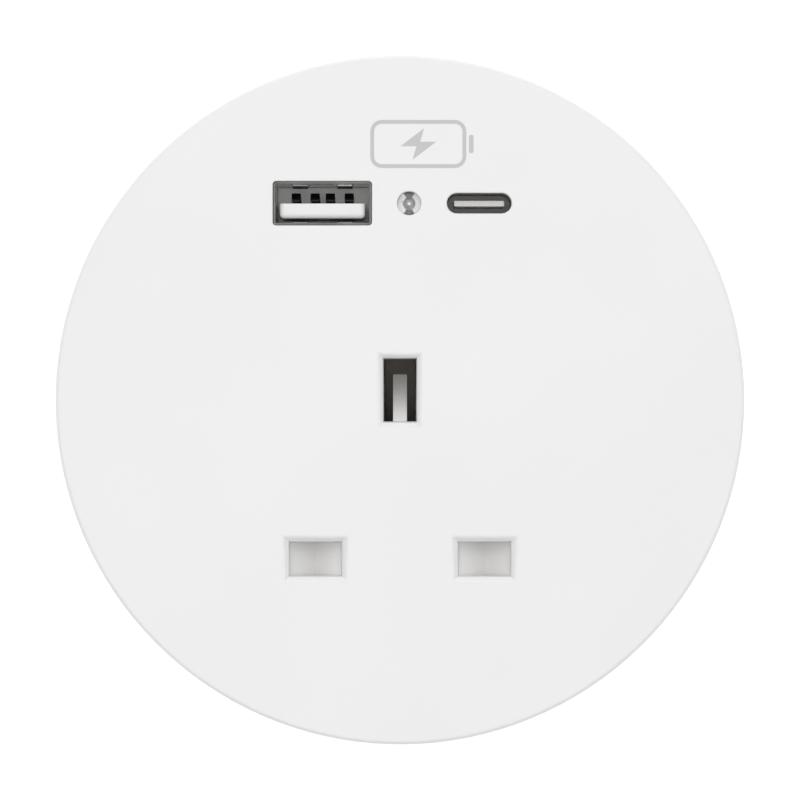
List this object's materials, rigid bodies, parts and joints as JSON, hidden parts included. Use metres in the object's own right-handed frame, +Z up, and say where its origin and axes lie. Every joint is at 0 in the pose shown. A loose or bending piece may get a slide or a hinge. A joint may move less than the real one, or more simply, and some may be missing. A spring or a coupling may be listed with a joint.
{
  "type": "in-desk power module",
  "caption": "Round flush power module for a desk hole: earthed outlet with a safety shutter, USB-A and USB-C ports, threaded tube and ring nut clamp.",
  "frame": {"origin": "on the tube's axis at the level of the desk surface, where the gasket rests", "axes": "+Z up out of the desk through the face, +Y from the outlet to the USB ports, +X right as one looks down on the face"},
  "size_m": [0.0904, 0.0904, 0.062],
  "materials": {
    "white_plastic": "satin moulded",
    "shutter_plastic": "satin moulded",
    "tube_plastic": "fine matt moulded",
    "inner_plastic": "moulded",
    "black_plastic": "moulded",
    "seal": "soft foam rubber",
    "brass": "bright strip",
    "steel": "bright",
    "screw_steel": "zinc plated",
    "nickel": "nickel plated",
    "brown_jacket": "smooth insulation",
    "blue_jacket": "smooth insulation",
    "green_jacket": "smooth insulation, green with a yellow stripe",
    "red_jacket": "smooth insulation",
    "barrier_sheet": "thin sheet",
    "board_laminate": "solder mask",
    "clear_lens": "clear epoxy",
    "ferrite": "sintered",
    "winding_tape": "polyester tape",
    "can": "sleeved",
    "disc_capacitor": "dipped"
  },
  "bodies": {
    "module": {"faceplate": "white_plastic", "gasket_ring": "seal", "housing": "tube_plastic", "rear_cover": "tube_plastic", "face_screws": "screw_steel", "carrier_screws": "screw_steel", "cover_screws": "screw_steel", "shutter_keeper": "inner_plastic", "contact_carrier": "inner_plastic", "contact_cover": "inner_plastic", "earth_contact": "brass", "line_contact": "brass", "neutral_contact": "brass", "terminal_screws": "screw_steel", "earth_wire": "green_jacket", "line_wire": "brown_jacket", "neutral_wire": "blue_jacket", "charger_leads": "red_jacket", "tab_receptacles": "nickel", "mains_inlet": "black_plastic", "inlet_pins": "nickel", "inlet_screws": "screw_steel", "insulation_barrier": "barrier_sheet", "charger_board": "board_laminate", "usb_a_shell": "steel", "usb_a_tongue": "white_plastic", "usb_a_contacts": "nickel", "usb_c_shell": "steel", "usb_c_tongue": "white_plastic", "usb_c_contacts": "nickel", "status_led": "clear_lens", "led_leads": "nickel", "transformer_core": "ferrite", "transformer_winding": "winding_tape", "transformer_bobbin": "black_plastic", "input_capacitors": "can", "output_capacitor": "can", "safety_capacitor": "disc_capacitor", "bridge_rectifier": "black_plastic", "controller_chip": "black_plastic", "input_fuse": "black_plastic"},
    "shutter_body": {"shutter": "shutter_plastic", "shutter_spring": "steel"},
    "washer_body": {"clamp_washer": "tube_plastic"},
    "nut_body": {"ring_nut": "tube_plastic"}
  },
  "joints": [
    {"name": "shutter_slide", "type": "slide", "parent": "module", "child": "shutter_body", "axis": [0, -1, 0], "range_m": [0, 0.0067], "stiffness_N_per_m": 60, "springref_m": -0.004, "deforming": ["shutter_spring"]},
    {"name": "clamp_travel", "type": "slide", "parent": "module", "child": "washer_body", "axis": [0, 0, 1], "range_m": [-0.01101, 0.01851]},
    {"name": "ring_nut_turn", "type": "hinge", "parent": "washer_body", "child": "nut_body", "pos_m": [0, 0, -0.025], "axis": [0, 0, 1], "range_deg": [-990, 1665]}
  ],
  "couplings": [
    {"joint": "clamp_travel", "follows": "ring_nut_turn", "m_per_rad": 0.00063662}
  ]
}
